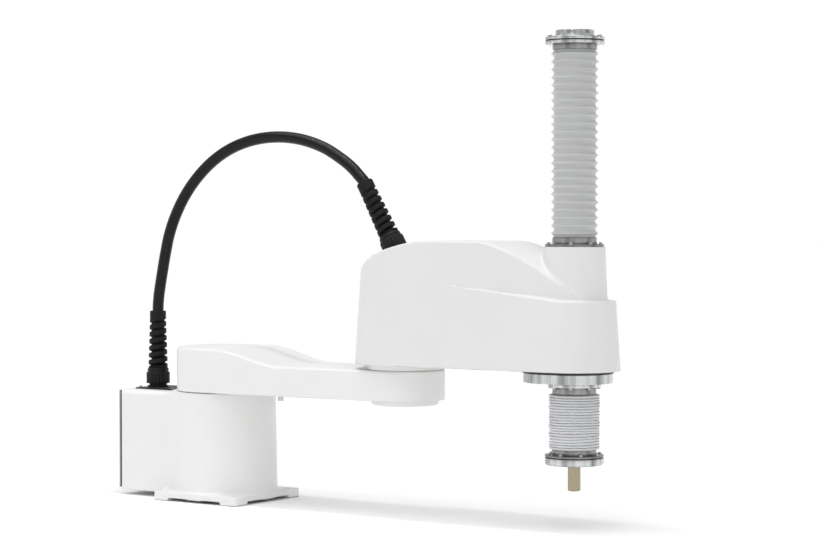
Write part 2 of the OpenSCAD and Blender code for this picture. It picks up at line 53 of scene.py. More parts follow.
# ---------------------------------------------------------------- driving sizes, mm
A1, A2 = 350.0, 300.0                       # joint 1 to joint 2, joint 2 to joint 3
J3X = A1 + A2
ARM1_Z, BASE_TOP, CAB_TOP = 175.0, 174.0, 172.0
HUB_TOP, ELBOW_TOP, A2_Z = 245.0, 222.0, 230.5
HUB_R, ELBOW_R = 80.0, 61.0                 # ends of arm 1
FOOT_HALF, FOOT_R, FOOT_PAD = 85, 8, 4.5    # half side, corner radius, pad height
BOLT_AT, BOLT_R = 70, 4.5                   # half the bolt pitch, hole radius
COVER_H, COVER_WALL = 189, 3.4
LEDGE_Z = 102.5                             # ledge of the cover at its nose, above A2_Z
TUBE_H = 180.8                              # top of the round housing, above A2_Z
TUBE_TOP = A2_Z + 181
UP_OPEN, UP_SHUT, UP_FOLDS = 272.5, 82.5, 24  # upper bellows: length open, length shut, folds
LO_SHUT, LO_PARTS, LO_FOLDS = 80.0, 5, 4    # lower bellows: length shut, sections, folds in each
UP0, UP1 = TUBE_TOP + 13.5, TUBE_TOP + 13.5 + UP_OPEN
LO1 = A2_Z - 34.5
LO0 = LO1 - LO_SHUT
FLANGE_TOP, PLATE_LOW, FLANGE_LOW = TUBE_TOP + 3.5, A2_Z - 17.6, A2_Z - 23.6
DISC_Z, GASKET_Z, CAP_Z, CAP_TOP = UP1 + 8, UP1 + 12.5, UP1 + 14.1, UP1 + 18.5
LO_RING, LO_GASKET, LO_DISC = LO0 - 8, LO0 - 11, LO0 - 12.5
GLAND_X, GLAND_Z = 145.0, CAB_TOP + 2       # base gland, behind joint 1
ROOT2 = Vector((A1 - 14, 0, A2_Z + 168.5))  # foot of the arm 2 gland, which leans back
LEAN = math.radians(30)
WIRE_R = 9.15
BORE_R = WIRE_R + 0.6                       # glands and strain reliefs

# ---------------------------------------------------------------- camera
YAW, PITCH = math.radians(34.5), math.radians(1.43)
SENSOR, FOCAL_PX, WIDE_PX = 36.0, 2382.45, 822.0
SWING = 0.35                                # the camera stands back from a point this far along X
side = Vector((math.cos(YAW), math.sin(YAW), 0))
ahead = Vector((-math.sin(YAW), math.cos(YAW), 0))
cam_d = bpy.data.cameras.new("cam")
cam_d.sensor_width = SENSOR
cam_d.lens = SENSOR * FOCAL_PX / WIDE_PX
cam_d.clip_end = 50.0
cam = bpy.data.objects.new("cam", cam_d)
scene.collection.objects.link(cam)
loc = (0.00889 + SWING * math.cos(YAW)) * side - (3.642 + SWING * math.sin(YAW)) * ahead
cam.location = (loc.x, loc.y, 0.46394)
look = ahead * math.cos(PITCH) - Vector((0, 0, 1)) * math.sin(PITCH)
cam.rotation_euler = look.to_track_quat("-Z", "Y").to_euler()
scene.camera = cam


# ---------------------------------------------------------------- materials
class Mat:
    """A principled material in object coordinates, built node by node."""

    def __init__(self, name, **sockets):
        self.m = bpy.data.materials.new(name)
        self.m.use_nodes = True
        self.t = self.m.node_tree
        self.n = self.t.nodes
        self.p = self.n["Principled BSDF"]
        self.co = self.n.new("ShaderNodeTexCoord").outputs["Object"]
        for k, v in sockets.items():
            self.p.inputs[k.replace("_", " ")].default_value = v

    def link(self, a, b):
        self.t.links.new(a, b)

    def noise(self, scale, detail=3, rough=0.5, vec=None, stretch=None):
        if stretch:
            mp = self.n.new("ShaderNodeMapping")
            mp.inputs["Scale"].default_value = stretch
            self.link(vec or self.co, mp.inputs["Vector"])
            vec = mp.outputs["Vector"]
        x = self.n.new("ShaderNodeTexNoise")
        x.inputs["Scale"].default_value = scale
        x.inputs["Detail"].default_value = detail
        x.inputs["Roughness"].default_value = rough
        self.link(vec or self.co, x.inputs["Vector"])
        return x.outputs["Fac"]

    def ramp(self, fac, stops):
        r = self.n.new("ShaderNodeValToRGB")
        e = r.color_ramp.elements
        while len(e) < len(stops):
            e.new(0.5)
        for el, (pos, col) in zip(e, stops):
            el.position = pos
            el.color = (*col, 1) if not isinstance(col, (int, float)) else (col, col, col, 1)
        self.link(fac, r.inputs["Fac"])
        return r.outputs["Color"]

    def range(self, fac, lo, hi, a=0.3, b=0.7):
        r = self.n.new("ShaderNodeMapRange")
        r.inputs["From Min"].default_value = a
        r.inputs["From Max"].default_value = b
        r.inputs["To Min"].default_value = lo
        r.inputs["To Max"].default_value = hi
        self.link(fac, r.inputs["Value"])
        return r.outputs["Result"]

    def math(self, op, a, b=None):
        x = self.n.new("ShaderNodeMath")
        x.operation = op
        for i, v in enumerate((a, b)):
            if v is None:
                continue
            if isinstance(v, (int, float)):
                x.inputs[i].default_value = v
            else:
                self.link(v, x.inputs[i])
        return x.outputs[0]

    def bump(self, height, strength, dist, normal=None):
        b = self.n.new("ShaderNodeBump")
        b.inputs["Strength"].default_value = strength
        b.inputs["Distance"].default_value = dist
        self.link(height, b.inputs["Height"])
        if normal is not None:
            self.link(normal, b.inputs["Normal"])
        return b.outputs["Normal"]

    def bevel(self, radius):
        b = self.n.new("ShaderNodeBevel")
        b.samples = 4
        b.inputs["Radius"].default_value = radius
        return b.outputs["Normal"]

    def set(self, socket, out):
        self.link(out, self.p.inputs[socket])
        return self


def edges(mt, lo=0.49, hi=0.56):
    """0 on flats, 1 on outside edges."""
    g = mt.n.new("ShaderNodeNewGeometry")
    return mt.range(g.outputs["Pointiness"], 0.0, 1.0, lo, hi)


def paint_white(name, tone=0.765, bevel=None):
    """Semi-gloss white paint over a casting: orange peel, faint clouding, thin dust."""
    m = Mat(name, IOR=1.5)
    cloud = m.noise(14, 4, 0.55)
    m.set("Base Color", m.ramp(cloud, [(0.3, (tone * 0.975, tone * 0.975, tone * 0.965)),
                                       (0.7, (tone, tone, tone * 0.992))]))
    m.set("Roughness", m.range(m.noise(60, 3, 0.6), 0.30, 0.42))
    peel = m.noise(1400, 2, 0.5)
    flow = m.noise(260, 2, 0.4)
    h = m.math("ADD", m.math("MULTIPLY", peel, 0.35), flow)
    n0 = m.bevel(bevel) if bevel else None
    m.set("Normal", m.bump(h, 0.18, 0.00012, n0))
    return m.m


def plastic_black(name, tone=0.007, rough=(0.38, 0.52), grain=2200, depth=0.00012, bevel=None):
    """Black moulded plastic or powder coat with a fine grain."""
    m = Mat(name, IOR=1.48, Specular_IOR_Level=0.22)
    m.set("Base Color", m.ramp(m.noise(40, 4, 0.6), [(0.3, (tone * 0.8, tone * 0.8, tone * 0.85)),
                                                     (0.7, (tone * 1.25, tone * 1.25, tone * 1.3))]))
    m.set("Roughness", m.range(m.noise(90, 4, 0.6), *rough))
    m.set("Normal", m.bump(m.noise(grain, 2, 0.5), 0.35, depth, m.bevel(bevel) if bevel else None))
    return m.m


def shades(tone, dark, lo, hi):
    """Colour stops from a darker shade of tone to tone itself."""
    return [(lo, tuple(c * dark for c in tone)), (hi, tone)]


def turned_steel(name, tone, axis_x, rough, painted_reflection=0.0):
    """Lathe-turned steel: fine rings about a vertical axis, light scuffs, and, when the weight is set,
    broad painted reflection bands round the rim, dark and bright by angle.
    """
    m = Mat(name, Metallic=1.0)
    mp = m.n.new("ShaderNodeMapping")
    mp.inputs["Location"].default_value = (-axis_x, 0, 0)
    m.link(m.co, mp.inputs["Vector"])
    w = m.n.new("ShaderNodeTexWave")
    w.wave_type = "RINGS"
    w.rings_direction = "Z"
    w.inputs["Scale"].default_value = 420
    w.inputs["Distortion"].default_value = 1.5
    w.inputs["Detail"].default_value = 2
    w.inputs["Detail Scale"].default_value = 3
    m.link(mp.outputs["Vector"], w.inputs["Vector"])
    z = m.noise(30, 3, 0.6, mp.outputs["Vector"], (1, 1, 90))
    scuff = m.noise(55, 5, 0.65)
    fac = scuff
    # painted reflection: broad dark and bright bands by angle round the axis stand in for reflections of
    # the surroundings
    if painted_reflection:
        flat = m.n.new("ShaderNodeMapping")
        flat.inputs["Scale"].default_value = (1, 1, 0)
        m.link(mp.outputs["Vector"], flat.inputs["Vector"])
        unit = m.n.new("ShaderNodeVectorMath")
        unit.operation = "NORMALIZE"
        m.link(flat.outputs["Vector"], unit.inputs[0])
        painted_reflection_band = m.range(m.noise(3.4, 4, 0.62, unit.outputs["Vector"]), 0.0, 1.0, 0.38, 0.62)
        fac = m.math("ADD", m.math("MULTIPLY", painted_reflection_band, painted_reflection), m.math("MULTIPLY", scuff, 1 - painted_reflection))
    # the colour mixes the painted reflection bands with the real scuffs
    m.set("Base Color", m.ramp(fac, shades(tone, 0.86 - 0.62 * painted_reflection, 0.12, 0.80)))
    wear = m.math("ADD", m.math("MULTIPLY", z, 0.6), m.math("MULTIPLY", scuff, 0.4))
    m.set("Roughness", m.range(wear, *rough))
    h = m.math("ADD", m.math("MULTIPLY", w.outputs["Fac"], 0.5), m.math("MULTIPLY", z, 0.6))
    m.set("Normal", m.bump(h, 0.14, 0.00006, m.bevel(0.0006)))
    return m.m


def blasted_alloy(name, tone, rough, metal=1.0):
    """Alloy with an even blasted grain: the rear panel and the pulleys."""
    m = Mat(name, Metallic=metal)
    m.set("Base Color", m.ramp(m.noise(35, 4, 0.6), shades(tone, 0.85, 0.3, 0.7)))
    m.set("Roughness", m.range(m.noise(120, 3, 0.6), *rough))
    m.set("Normal", m.bump(m.noise(1800, 2, 0.5), 0.3, 0.0001, m.bevel(0.0006)))
    return m.m


def rubber(name, tone=0.018, rough=(0.55, 0.7)):
    """Matt black rubber with a fine grain: gaskets and belts."""
    m = Mat(name, IOR=1.5)
    m.set("Base Color", m.ramp(m.noise(70, 4, 0.6), [(0.3, tone * 0.8), (0.7, tone * 1.4)]))
    m.set("Roughness", m.range(m.noise(160, 3, 0.6), *rough))
    m.set("Normal", m.bump(m.noise(2600, 2, 0.5), 0.4, 0.00012, m.bevel(0.0004)))
    return m.m


def conduit_mat():
    """Black sheath with a thin shiny skin and handling marks."""
    m = Mat("conduit_sheath", IOR=1.5, Specular_IOR_Level=0.08, Coat_Weight=0.42,
            Coat_Roughness=0.11, Coat_IOR=1.4)
    m.set("Base Color", m.ramp(m.noise(26, 4, 0.6), [(0.3, (0.003, 0.003, 0.0032)),
                                                     (0.75, (0.007, 0.007, 0.0075))]))
    m.set("Roughness", m.range(m.noise(45, 5, 0.65), 0.30, 0.46))
    m.set("Normal", m.bump(m.noise(900, 3, 0.6), 0.25, 0.00014))
    return m.m


def bellows_mat(name, tone):
    """Thin milky elastomer: light passes through a little; painted highlight on the fold crests, painted
    shade in the fold roots, faint random clouding.
    """
    m = Mat(name, IOR=1.45, Subsurface_Weight=0.35, Subsurface_Scale=0.006, Coat_Weight=0.1,
            Coat_Roughness=0.35)
    m.p.inputs["Subsurface Radius"].default_value = (1.0, 0.95, 0.9)
    # painted highlight and shade: the fold crests are painted lighter and the fold roots darker, with a
    # little random clouding mixed in
    fold = edges(m, 0.46, 0.56)
    cloud = m.noise(28, 4, 0.6)
    crest_light_and_clouding = m.math("ADD", m.math("MULTIPLY", fold, 0.7), m.math("MULTIPLY", cloud, 0.3))
    m.set("Base Color", m.ramp(crest_light_and_clouding, shades(tone, 0.84, 0.1, 0.85)))
    m.set("Roughness", m.range(m.noise(70, 4, 0.6), 0.32, 0.48))
    m.set("Normal", m.bump(m.noise(700, 3, 0.6), 0.2, 0.0002))
    return m.m


def ground_steel(name, tone=(0.56, 0.57, 0.58), rough=(0.22, 0.36)):
    """Bright steel with fine level grinding marks."""
    m = Mat(name, Metallic=1.0)
    brush = m.noise(24, 3, 0.6, None, (1, 1, 55))
    m.set("Base Color", m.ramp(m.noise(40, 4, 0.6), shades(tone, 0.85, 0.3, 0.7)))
    m.set("Roughness", m.range(brush, *rough))
    m.set("Normal", m.bump(brush, 0.12, 0.00008, m.bevel(0.0005)))
    return m.m


MAT = dict(
    casting=paint_white("paint_casting"),
    casting_cad=paint_white("paint_panel", bevel=0.001),
    cover=paint_white("paint_cover", 0.70),
    black=plastic_black("nylon_black", bevel=0.0005),
    relief=plastic_black("relief_black", 0.006, (0.5, 0.64), 1500, 0.00016),
    panel=blasted_alloy("panel_sheet", (0.30, 0.30, 0.285), (0.4, 0.55), metal=0.5),
    plate=plastic_black("powder_black", 0.02, (0.42, 0.55), 3000, 0.00014, 0.0006),
    motor=plastic_black("motor_black", 0.03, (0.35, 0.5), 1600, 0.0001, 0.001),
    gasket=rubber("gasket_rubber"),
    belt=rubber("belt_rubber", 0.024, (0.6, 0.75)),
    # disc, flange and collar carry painted reflection bands round their rims
    disc=turned_steel("turned_disc", (0.62, 0.63, 0.63), J3X * MM, (0.14, 0.28), painted_reflection=0.75),
    flange=turned_steel("turned_flange", (0.26, 0.26, 0.265), J3X * MM, (0.25, 0.4), painted_reflection=0.5),
    collar=turned_steel("collar_alloy", (0.34, 0.34, 0.345), J3X * MM, (0.3, 0.42), painted_reflection=0.6),
    steel=ground_steel("drive_steel"),
    pulley=blasted_alloy("pulley_alloy", (0.62, 0.63, 0.64), (0.3, 0.42)),
    screw=ground_steel("screw_steel", (0.5, 0.5, 0.51), (0.25, 0.4)),
    shaft=turned_steel("shaft_steel", (0.38, 0.345, 0.235), J3X * MM, (0.22, 0.34)),
    conduit=conduit_mat(),
    bellows=bellows_mat("bellows_upper", (0.66, 0.665, 0.66)),
    bellows_lo=bellows_mat("bellows_lower", (0.73, 0.735, 0.75)),
)


# ---------------------------------------------------------------- mesh tools
def add(name, verts, faces, mat, body, slot, replaces=(), normals=None, sharp=None):
    """A piece from corners in mm; it rides on body, or on no body at all if body is None."""
    me = bpy.data.meshes.new(name)
    me.from_pydata((np.asarray(verts, float) * MM).tolist(), [], [list(f) for f in faces])
    me.update()
    me.polygons.foreach_set("use_smooth", np.ones(len(me.polygons), bool))
    if sharp:
        me.set_sharp_from_angle(angle=math.radians(sharp))
    if normals is not None:
        me.normals_split_custom_set_from_vertices(normals.tolist())
    me.materials.append(mat)
    o = bpy.data.objects.new(name, me)
    scene.collection.objects.link(o)
    if body:
        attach(o, body)
    if replaces:
        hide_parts(*replaces)
    return o


def revolve(profile, n=96, at=(0, 0, 0)):
    """A closed ring or a solid from (r, z) points that run counter-clockwise in the r-z half plane."""
    p = np.asarray(profile, float)
    a = np.arange(n) * 2 * math.pi / n
    v = np.stack([p[None, :, 0] * np.cos(a)[:, None], p[None, :, 0] * np.sin(a)[:, None],
                  np.broadcast_to(p[None, :, 1], (n, len(p)))], -1).reshape(-1, 3) + np.array(at)
    m = len(p)
    f = []
    for i in range(n):
        j = (i + 1) % n
        for k in range(m):
            l = (k + 1) % m
            if p[k, 0] < 1e-6 and p[l, 0] < 1e-6:
                continue
            f.append((i * m + k, j * m + k, j * m + l, i * m + l))
    return v, f


def ring_profile(ro, ri, z0, z1, c=0.6, ci=0.3):
    """A ring's outline with chamfered edges."""
    return [(ri, z0 + ci), (ri + ci, z0), (ro - c, z0), (ro - 0.25 * c, z0 + 0.25 * c), (ro, z0 + c),
            (ro, z1 - c), (ro - 0.25 * c, z1 - 0.25 * c), (ro - c, z1), (ri + ci, z1), (ri, z1 - ci)]


def join(parts):
    """Several (corners, faces) parts as one."""
    vs, fs, base = [], [], 0
    for v, f in parts:
        vs.append(np.asarray(v, float))
        fs += [tuple(i + base for i in q) for q in f]
        base += len(v)
    return np.vstack(vs), fs


def placed(part, m):
    """part moved by a 4x4 matrix, in mm."""
    v = np.asarray(part[0], float)
    m = np.array(m)
    return v @ m[:3, :3].T + m[:3, 3], part[1]


def socket_screw(d, head=0.9, wide=1.7, n=24):
    """Head with a rounded rim and a hexagonal socket, standing on z = 0."""
    r, h, s = wide * d / 2, head * d, 0.45 * d
    prof = [(0, 0.0), (r, 0), (r, h - 0.18 * d), (r - 0.05 * d, h - 0.06 * d), (r - 0.16 * d, h)]
    a = np.arange(n) * 2 * math.pi / n
    v, f = [], []
    for rr, zz in prof[1:]:
        v += [(rr * math.cos(t), rr * math.sin(t), zz) for t in a]
    hexr = lambda t: s * math.cos(math.pi / 6) / math.cos((t % (math.pi / 3)) - math.pi / 6)
    for zz in (h, h - 0.5 * d):
        v += [(hexr(t) * math.cos(t), hexr(t) * math.sin(t), zz) for t in a]
    rows = len(prof) - 1 + 2
    for k in range(rows - 1):
        for i in range(n):
            j = (i + 1) % n
            f.append((k * n + i, k * n + j, (k + 1) * n + j, (k + 1) * n + i))
    f.append(tuple(range(n - 1, -1, -1)))
    f.append(tuple((rows - 1) * n + i for i in range(n)))
    return np.array(v), f


def around(part, n, r, a0=0.0, at=(0, 0, 0), flip=False):
    """n copies of part on a circle of radius r, turned over if flip is set."""
    out = []
    for i in range(n):
        m = (Matrix.Translation(Vector(at)) @ Matrix.Rotation(math.radians(a0 + 360 / n * i), 4, "Z")
             @ Matrix.Translation(Vector((r, 0, 0))))
        if flip:
            m = m @ Matrix.Rotation(math.pi, 4, "X")
        out.append(placed(part, m))
    return join(out)


def rint(a, b, r):
    """Intersection of two fields with a round edge of radius r."""
    return np.minimum(-r, np.maximum(a, b)) + np.hypot(np.maximum(r + a, 0), np.maximum(r + b, 0))


def rjoin(a, b, r):
    """Union of two fields with a fillet of radius r."""
    return np.maximum(r, np.minimum(a, b)) - np.hypot(np.maximum(r - a, 0), np.maximum(r - b, 0))


def smax(a, b, k):
    """Intersection with a soft edge; moves the surface by k/4 at most, for nearly level meetings."""
    return np.maximum(a, b) + np.maximum(k - np.abs(a - b), 0) ** 2 / (4 * k)


def smin(a, b, k):
    """Union with a soft seam, as smax."""
    return np.minimum(a, b) - np.maximum(k - np.abs(a - b), 0) ** 2 / (4 * k)


def capsule(x, y, ra, rb, d):
    """Distance to two circles on the X axis and the sides tangent to both."""
    b = (ra - rb) / d
    a = np.sqrt(1 - b * b)
    ay = np.abs(y)
    k = a * x - b * ay
    return np.where(k < 0, np.hypot(x, y) - ra,
                    np.where(k > a * d, np.hypot(x - d, y) - rb, a * ay + b * x - ra))


def rect2(x, y, hx, hy, r):
    """Distance to a rectangle with half sides hx and hy and corner radius r."""
    qx, qy = np.abs(x) - hx + r, np.abs(y) - hy + r
    return np.hypot(np.maximum(qx, 0), np.maximum(qy, 0)) + np.minimum(np.maximum(qx, qy), 0) - r


def nets(f, lo, hi, cell, steps=5):
    """The zero surface of a field as quads with corners pulled onto it, and the field's own normals."""
    lo = np.array(lo, float) - 1.5 * cell
    n = np.ceil((np.array(hi, float) + 1.5 * cell - lo) / cell).astype(int) + 1
    ax = [lo[i] + cell * np.arange(n[i]) for i in range(3)]
    g = np.empty(n)
    for i in range(0, n[0], 16):
        q = np.stack(np.meshgrid(ax[0][i:i + 16], ax[1], ax[2], indexing="ij"), -1)
        g[i:i + 16] = f(q[..., 0], q[..., 1], q[..., 2])
    s = g < 0
    c = [(i, j, k) for i in (0, 1) for j in (0, 1) for k in (0, 1)]
    cut = [slice(0, -1), slice(1, None)]
    cnt = sum(s[cut[i], cut[j], cut[k]].astype(np.int8) for i, j, k in c)
    act = np.argwhere((cnt > 0) & (cnt < 8))
    idx = -np.ones(np.array(n) - 1, np.int64)
    idx[tuple(act.T)] = np.arange(len(act))
    pos, wt = np.zeros((len(act), 3)), np.zeros(len(act))
    for a in c:
        for d in range(3):
            if a[d]:
                continue
            b = list(a)
            b[d] = 1
            ga, gb = g[tuple((act + a).T)], g[tuple((act + b).T)]
            m = (ga < 0) != (gb < 0)
            t = ga[m] / (ga[m] - gb[m])
            p = np.tile(np.array(a, float), (len(t), 1))
            p[:, d] = t
            pos[m] += p
            wt[m] += 1
    p = lo + cell * (act + pos / wt[:, None])
    start = p.copy()

    def grad(p, e=0.01):
        out = np.empty_like(p)
        for d in range(3):
            q, w = p.copy(), p.copy()
            q[:, d] += e
            w[:, d] -= e
            out[:, d] = (f(*q.T) - f(*w.T)) / (2 * e)
        return out

    for _ in range(steps):
        gr = grad(p)
        p = p - (f(*p.T) / np.maximum((gr ** 2).sum(1), 0.05))[:, None] * gr
        off = p - start
        far = np.linalg.norm(off, axis=1)
        p = start + off * np.minimum(1, 0.9 * cell / np.maximum(far, 1e-9))[:, None]
    gr = grad(p)
    gr /= np.maximum(np.linalg.norm(gr, axis=1), 1e-9)[:, None]
    quads = []
    for d in range(3):
        lo_s, hi_s = [slice(None)] * 3, [slice(None)] * 3
        lo_s[d], hi_s[d] = slice(0, -1), slice(1, None)
        e = np.argwhere(s[tuple(lo_s)] != s[tuple(hi_s)])
        u, v = (d + 1) % 3, (d + 2) % 3
        e = e[(e[:, u] > 0) & (e[:, v] > 0) & (e[:, u] < n[u] - 1) & (e[:, v] < n[v] - 1)]
        inside = s[tuple(e.T)]
        du, dv = np.eye(3, dtype=int)[u], np.eye(3, dtype=int)[v]
        q = np.stack([idx[tuple((e - du - dv).T)], idx[tuple((e - dv).T)], idx[tuple(e.T)],
                      idx[tuple((e - du).T)]], 1)
        q[~inside] = q[~inside][:, ::-1]
        quads.append(q)
    return p, np.vstack(quads), gr


def field_piece(name, f, lo, hi, cell, mat, body, slot, replaces):
    p, q, gr = nets(f, lo, hi, cell)
    return add(name, p, q.tolist(), mat, body, slot, replaces, normals=gr)


def tube(path, radius, n):
    """A round bar along (x, z) points in the plane y = 0, closed by flat ends."""
    p = np.asarray(path, float)
    t = np.gradient(p, axis=0)
    t /= np.linalg.norm(t, axis=1)[:, None]
    a = np.arange(n) * 2 * math.pi / n
    nx, nz = -t[:, 1], t[:, 0]
    v = np.stack([p[:, 0, None] + radius * np.cos(a) * nx[:, None],
                  radius * np.sin(a) + 0 * nx[:, None],
                  p[:, 1, None] + radius * np.cos(a) * nz[:, None]], -1).reshape(-1, 3)
    f = [(i * n + j, (i + 1) * n + j, (i + 1) * n + (j + 1) % n, i * n + (j + 1) % n)
         for i in range(len(p) - 1) for j in range(n)]
    f += [tuple(range(n)), tuple((len(p) - 1) * n + j for j in range(n - 1, -1, -1))]
    return v, f


# ---------------------------------------------------------------- base
def cone_r(z, r0, r1, z0, z1):
    """Radius of a cone that is r0 at z0 and r1 at z1."""
    return r0 + (r1 - r0) * (z - z0) / (z1 - z0)


def base_field(x, y, z):
    """Round pedestal, cabinet, foot plate on pads, and the hollows inside."""
    ped = np.hypot(x, y) - cone_r(z, 82, 79, 13.5, BASE_TOP)
    ped = rint(ped, z - BASE_TOP, 1.6)
    ay = np.abs(y)
    cab = rect2(x + 110, y, 70, 55, 7)
    cab = rint(cab, z - CAB_TOP, 2)
    cab = rint(cab, (ay - 49 + z - CAB_TOP) * 0.7071, 1.5)
    cab = rint(cab, 8 - z, 1.5)
    body = rjoin(ped, cab, 17)
    body = np.maximum(body, z - BASE_TOP)
    foot = rect2(x, y, FOOT_HALF, FOOT_HALF, FOOT_R)
    plate = rint(foot, np.abs(z - 2 * FOOT_PAD) - FOOT_PAD, 1.2)
    pads = rint(foot, np.maximum(53 - np.abs(x), 53 - ay), 1.2)
    pads = rint(pads, np.abs(z - FOOT_PAD) - FOOT_PAD, 0.8)
    body = rjoin(body, np.minimum(plate, pads), 6.0)
    body = np.maximum(body, np.where(z < FOOT_PAD, np.minimum(pads, 40.0), -1e3))
    bolt = np.hypot(np.abs(x) - BOLT_AT, ay - BOLT_AT)
    body = rint(body, -(bolt - BOLT_R), 0.6)
    face = rint(bolt - 9.0, np.abs(z - 14.2) - 1.0, 0.3)
    body = rint(body, -face, 0.4)
    room = np.maximum(np.hypot(x, y) - 66, z - 148)
    bore = np.maximum(np.hypot(x, y) - 60, z - 200)
    bore = np.maximum(bore, 140 - z)
    cabin = np.maximum(np.maximum(ay - 50, np.abs(z - 83.0) - 69), np.maximum(x + 51, -x - 190))
    gl = np.maximum(np.hypot(x + GLAND_X, y) - 20, np.abs(z - 170) - 15)
    return np.maximum(body, -np.minimum(np.minimum(room, bore), np.minimum(cabin, gl)))


field_piece("base_casting_vis", base_field, (-180, -FOOT_HALF, 0), (FOOT_HALF, FOOT_HALF, BASE_TOP), 2.0,
            MAT["casting"], "base", "casting_white", ["base_casting"])


# ---------------------------------------------------------------- arm 1
def arm1_top(x):
    """Height of arm 1's top: flat over the hub, a cosine slope, flat over the elbow."""
    t = np.clip((x - 32) / 132.0, 0, 1)
    return ELBOW_TOP + (HUB_TOP - ELBOW_TOP) * 0.5 * (1 + np.cos(math.pi * t))


def arm1_field(x, y, z):
    """Arm 1 with its hollows for the hub, the elbow drive and the stop pin."""
    d = capsule(x, y, HUB_R, ELBOW_R, A1)
    top = (z - arm1_top(x)) * 0.94
    d = rint(d, top, 4.2)
    d = rint(d, ARM1_Z - z, 1.6)
    cap = np.maximum(np.hypot(x - A1, y) - 45, z - (ELBOW_TOP - 12))
    hub = np.maximum(np.hypot(x, y) - 50, np.abs(z - 211) - 26)
    hub = np.minimum(hub, np.maximum(np.hypot(x, y) - 12, z - 190))
    el = np.maximum(np.hypot(x - A1, y) - 12, 190 - z)
    pin = np.maximum(np.hypot(x - 110, y) - 4.8, z - 187)
    return np.maximum(d, -np.minimum(np.minimum(cap, hub), np.minimum(el, pin)))


field_piece("arm1_casting_vis", arm1_field, (-HUB_R, -HUB_R, ARM1_Z), (A1 + ELBOW_R, HUB_R, HUB_TOP),
            2.0, MAT["casting"], "arm1", "casting_white", ["arm1_casting"])

cap = revolve([(0, 167), (48.4, 167), (50.2, 167.8), (51.4, 169.2), (52, 171.2), (52, 174.4),
               (51.4, 175), (44.7, 175), (44.7, 180), (40, 180), (40, 171), (0, 171)], 128, (A1, 0, 0))
add("j2_bottom_cap_vis", *cap, MAT["casting"], "arm1", "casting_white", ["j2_bottom_cap"], sharp=38)


# ---------------------------------------------------------------- arm 2
def a2_radii(z):
    """Radii of the cover's two round ends at height z: the sides lean in."""
    return 77 - 12 * z / COVER_H, 67.5 - 12.6 * z / COVER_H


def a2_outer(x, y, zz):
    """The cover's outside: a lower body with a ledge, an upper hull with a sloped back and a falling
    bevel, and the round housing, whose skirt the upper hull wraps."""
    u, z = x - A1, zz - A2_Z
    zc = np.clip(z, -5, COVER_H)
    ra, rb = a2_radii(zc)
    low = capsule(u, y, ra, rb, A2)
    ledge = LEDGE_Z + 0.112 * np.clip(312 - u, 0, 190)
    lower = rint(low, (z - ledge) * 0.985, 2.2)
    rh = cone_r(zc, 48.9, 45, 90, TUBE_H)
    w = (ra + rb) * 0.5
    proud = rh + 2.6
    ang = np.arctan2(-w, 150) + np.arcsin(proud / np.hypot(150, w))
    tail = -300 * np.sin(ang) + np.cos(ang) * w
    upper = smax(low, capsule(u + 150, y, tail, proud, 450.0), 4.5)
    upper = np.maximum(upper, u - A2 - 35)
    back = -0.4633 * (u + 66) + 0.8862 * (z - 141)
    top = rint(z - COVER_H, back, 26.0)
    upper = rint(upper, top, 4.0)
    ys = np.sqrt(y * y + 100.0)
    s = np.maximum(u - 0.95 * (65 - ys) - 158, 0)
    fall = 0.052 * s ** 1.45 + 0.65 * np.maximum(s - 138, 0)
    slope = 0.0754 * s ** 0.45 + 0.65 * (s > 138)
    bevel = (z - COVER_H + fall) / np.sqrt(1 + 1.9 * slope * slope)
    upper = rint(upper, bevel, 2.6)
    house = rint(np.hypot(u - A2, y) - rh, z - TUBE_H, 0.9)
    house = np.maximum(house, 60 - z)
    up = smin(upper, house, 5.0)
    return smin(lower, up, 0.05 + 4 * np.clip((u - 190) / 80, 0, 1))


def a2_field(x, y, z):
    """The cover as a thin shell, open below, with the quill's bore and the gland's hole."""
    out = a2_outer(x, y, z)
    shell = rint(out, A2_Z - z, 1.0)
    inner = out + COVER_WALL
    axis = np.maximum(np.hypot(x - J3X, y) - 40.3, A2_Z + 60 - z)
    dx, dz = x - ROOT2.x, z - ROOT2.z
    along = -dx * math.sin(LEAN) + dz * math.cos(LEAN)
    across = np.hypot(dx * math.cos(LEAN) + dz * math.sin(LEAN), y)
    gl = np.maximum(across - 14.8, np.abs(along) - 20)
    return rint(np.maximum(shell, -inner), -np.minimum(axis, gl), 0.4)


A2_RA, A2_RB = a2_radii(0)
field_piece("arm2_cover_vis", a2_field, (A1 - A2_RA, -A2_RA, A2_Z),
            (J3X + A2_RB, A2_RA, A2_Z + COVER_H), 2.1, MAT["cover"], "arm2", "panel_white", ["arm2_cover"])


# ---------------------------------------------------------------- glands, strain reliefs and conduit
def gland_part():
    """Threaded neck, washer, nut with grip notches and a domed cap over the conduit."""
    neck = revolve([(BORE_R, -12), (14.5, -12), (14.5, 8.5), (BORE_R, 8.5)], 64)
    wash = revolve([(14.6, 0), (17.1, 0), (17.5, 0.4), (17.5, 1.6), (17.1, 2), (14.6, 2)], 64)
    n, rows = 144, [(14.4, 6), (18.4, 6), (19.2, 6.8), (19.2, 22.6), (18.6, 24), (17.2, 24.6),
                    (16.9, 25.2), (17.2, 25.8), (17.2, 29.2), (16.2, 31.1), (BORE_R, 31.1), (BORE_R, 6)]
    a = np.arange(n) * 2 * math.pi / n
    v = []
    for k, (r, z) in enumerate(rows):
        dip = 1.25 * np.maximum(0, np.cos(a * 18)) ** 3 if 1 <= k <= 4 else 0
        v.append(np.stack([(r - dip) * np.cos(a), (r - dip) * np.sin(a), 0 * a + z], -1))
    v = np.vstack(v)
    m = len(rows)
    f = [(k * n + i, k * n + (i + 1) % n, ((k + 1) % m) * n + (i + 1) % n, ((k + 1) % m) * n + i)
         for k in range(m) for i in range(n)]
    return join([neck, wash, (v, f)])


def edge(x):
    """Smooth step from 0 to 1."""
    return np.clip(x, 0, 1) ** 2 * (3 - 2 * np.clip(x, 0, 1))


